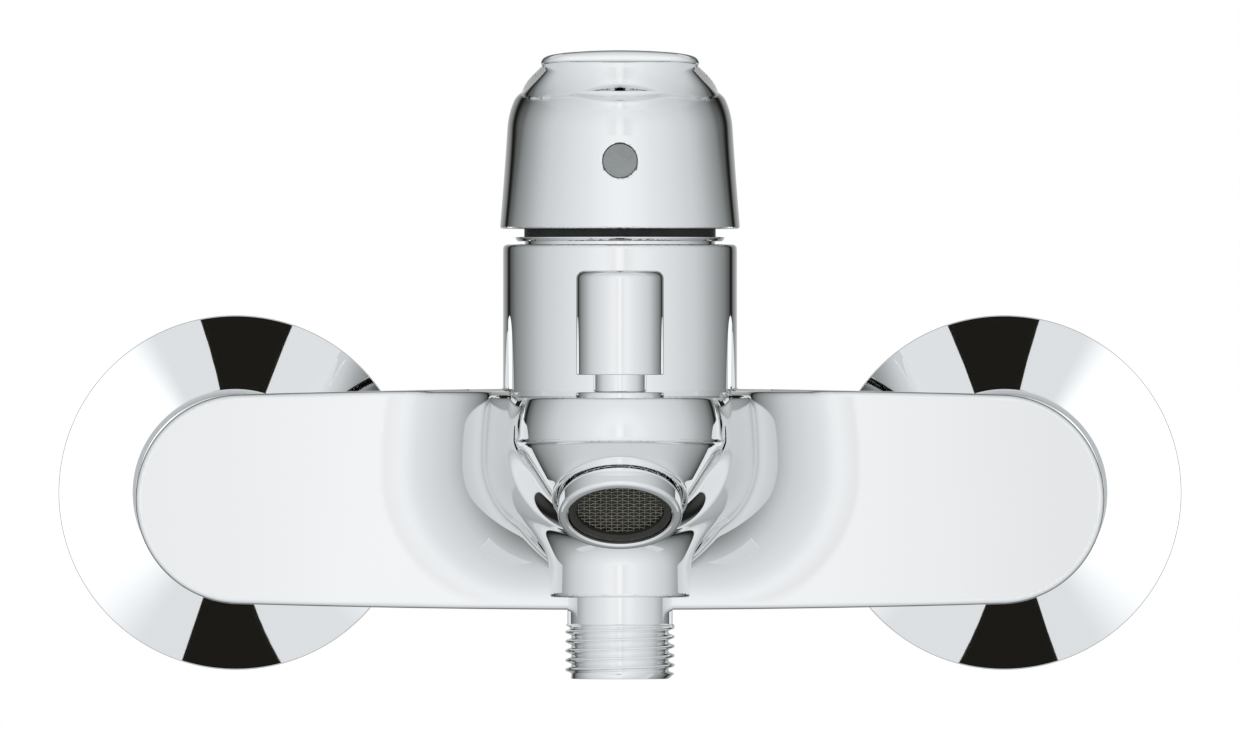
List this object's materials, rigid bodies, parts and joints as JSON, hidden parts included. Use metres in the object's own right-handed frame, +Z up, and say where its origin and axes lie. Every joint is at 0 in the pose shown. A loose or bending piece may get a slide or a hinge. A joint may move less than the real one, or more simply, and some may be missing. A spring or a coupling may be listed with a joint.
{
  "type": "wall bath and shower mixer tap",
  "caption": "Wall-mounted single-lever bath and shower mixer with a long oblong body, rosettes, spout with aerator, pull diverter and hose outlet.",
  "frame": {"origin": "on the finished wall's plane, midway between the two wall outlets", "axes": "+Y into the wall, -Y towards the user, +Z up, +X to the user's right"},
  "size_m": [0.2192, 0.176, 0.1204],
  "materials": {
    "chrome": "polished chrome plate on brass",
    "brass": "turned brass",
    "stainless": "stainless steel",
    "rubber": "black rubber",
    "white_plastic": "moulded acetal",
    "grey_plastic": "moulded glass-filled plastic",
    "ceramic": "lapped aluminium oxide",
    "index_grey": "satin grey plug",
    "screen": "woven wire screen"
  },
  "bodies": {
    "body": {"body_casting": "chrome", "s_union_left": "brass", "s_union_right": "brass", "rosette_left": "chrome", "rosette_right": "chrome", "union_nut_left": "brass", "union_nut_right": "brass", "union_washer_left": "rubber", "union_washer_right": "rubber", "inlet_strainer_left": "stainless", "inlet_strainer_right": "stainless", "inlet_nipple_left": "brass", "inlet_nipple_right": "brass", "cartridge_base": "white_plastic", "cartridge_port_seals": "rubber", "fixed_ceramic_disc": "ceramic", "cartridge_housing": "white_plastic", "cartridge_nut": "brass", "neck_ring": "chrome", "neck_band": "rubber", "diverter_gland": "chrome", "diverter_spring": "stainless", "diverter_o_rings": "rubber", "shower_nipple": "chrome", "check_valve_housing": "white_plastic", "check_valve_spring": "stainless", "check_valve_o_ring": "rubber", "aerator_housing": "chrome", "aerator_insert": "grey_plastic", "aerator_screen": "screen", "aerator_washer": "rubber"},
    "turret": {"cartridge_turret": "grey_plastic", "spindle_pin": "stainless"},
    "lever": {"spindle": "stainless", "handle": "chrome", "handle_grub_screw": "stainless", "index_plug": "index_grey"},
    "slider": {"disc_carrier": "grey_plastic", "moving_ceramic_disc": "ceramic"},
    "diverter": {"diverter_knob": "chrome", "diverter_rod": "stainless", "diverter_valve_head": "brass", "diverter_seals": "rubber"},
    "poppet": {"check_valve_poppet": "grey_plastic"}
  },
  "joints": [
    {"name": "lever_swivel", "type": "hinge", "parent": "body", "child": "turret", "pos_m": [0, -0.0605, 0.032], "axis": [0, 0, 1], "range_deg": [-50, 50]},
    {"name": "lever_lift", "type": "hinge", "parent": "turret", "child": "lever", "pos_m": [0, -0.0605, 0.032], "axis": [-1, 0, 0], "range_deg": [0, 25]},
    {"name": "disc_slide", "type": "slide", "parent": "turret", "child": "slider", "axis": [0, -1, 0], "range_m": [0, 0.0053]},
    {"name": "diverter_pull", "type": "slide", "parent": "body", "child": "diverter", "axis": [0, 0, 1], "range_m": [0, 0.007], "stiffness_N_per_m": 300, "springref_m": -0.008, "deforming": ["diverter_spring"]},
    {"name": "check_valve", "type": "slide", "parent": "body", "child": "poppet", "axis": [0, 0, -1], "range_m": [0, 0.0025], "stiffness_N_per_m": 100, "springref_m": -0.003, "deforming": ["check_valve_spring"]}
  ],
  "couplings": [
    {"joint": "disc_slide", "follows": "lever_lift", "m_per_rad": 0.011905}
  ]
}
